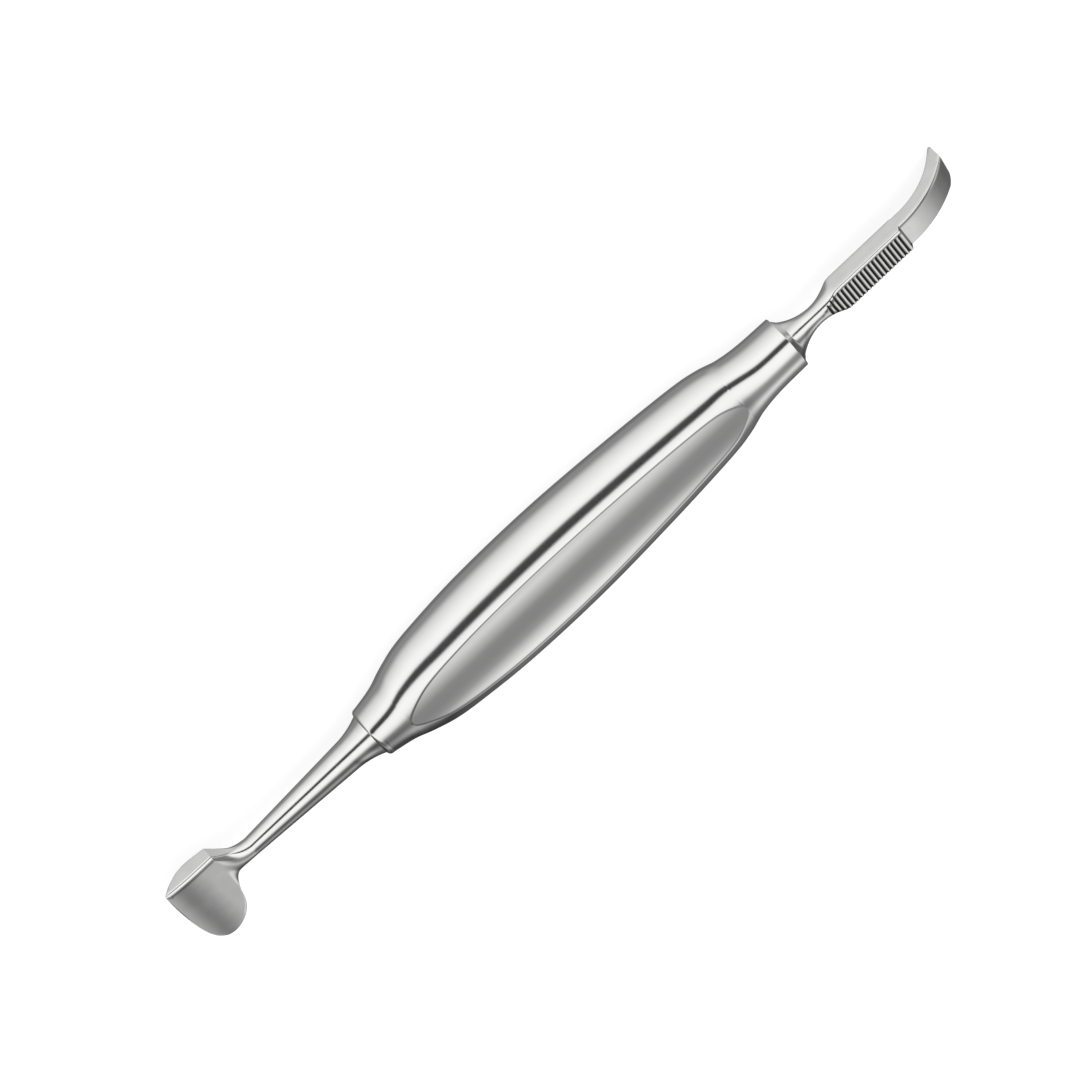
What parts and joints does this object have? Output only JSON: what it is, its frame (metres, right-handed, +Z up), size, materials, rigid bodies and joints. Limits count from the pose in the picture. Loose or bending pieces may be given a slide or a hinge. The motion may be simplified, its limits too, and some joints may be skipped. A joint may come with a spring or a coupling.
{
  "type": "periosteal elevator",
  "caption": "Double-ended periosteal elevator: hollow fluted steel grip, curled blade with serrated thumb rest at one end and a broad cross-set scraper blade at the other.",
  "frame": {"origin": "middle of the overall length and of the width, at the height of the lowest point, which is the hook's tip", "axes": "+X along the handle towards the scraper end, +Z up out of the upper flute, -Y towards the side the picture shows"},
  "size_m": [0.24, 0.0296, 0.0186],
  "materials": {
    "handle_steel": "bright polished stainless steel with faint long polishing lines",
    "hook_steel": "polished stainless steel, the flat sides fine brushed along the bar",
    "scraper_steel": "polished stainless steel, the flats fine brushed"
  },
  "bodies": {
    "root": {"handle": "handle_steel", "hook_elevator": "hook_steel", "scraper": "scraper_steel"}
  },
  "joints": []
}
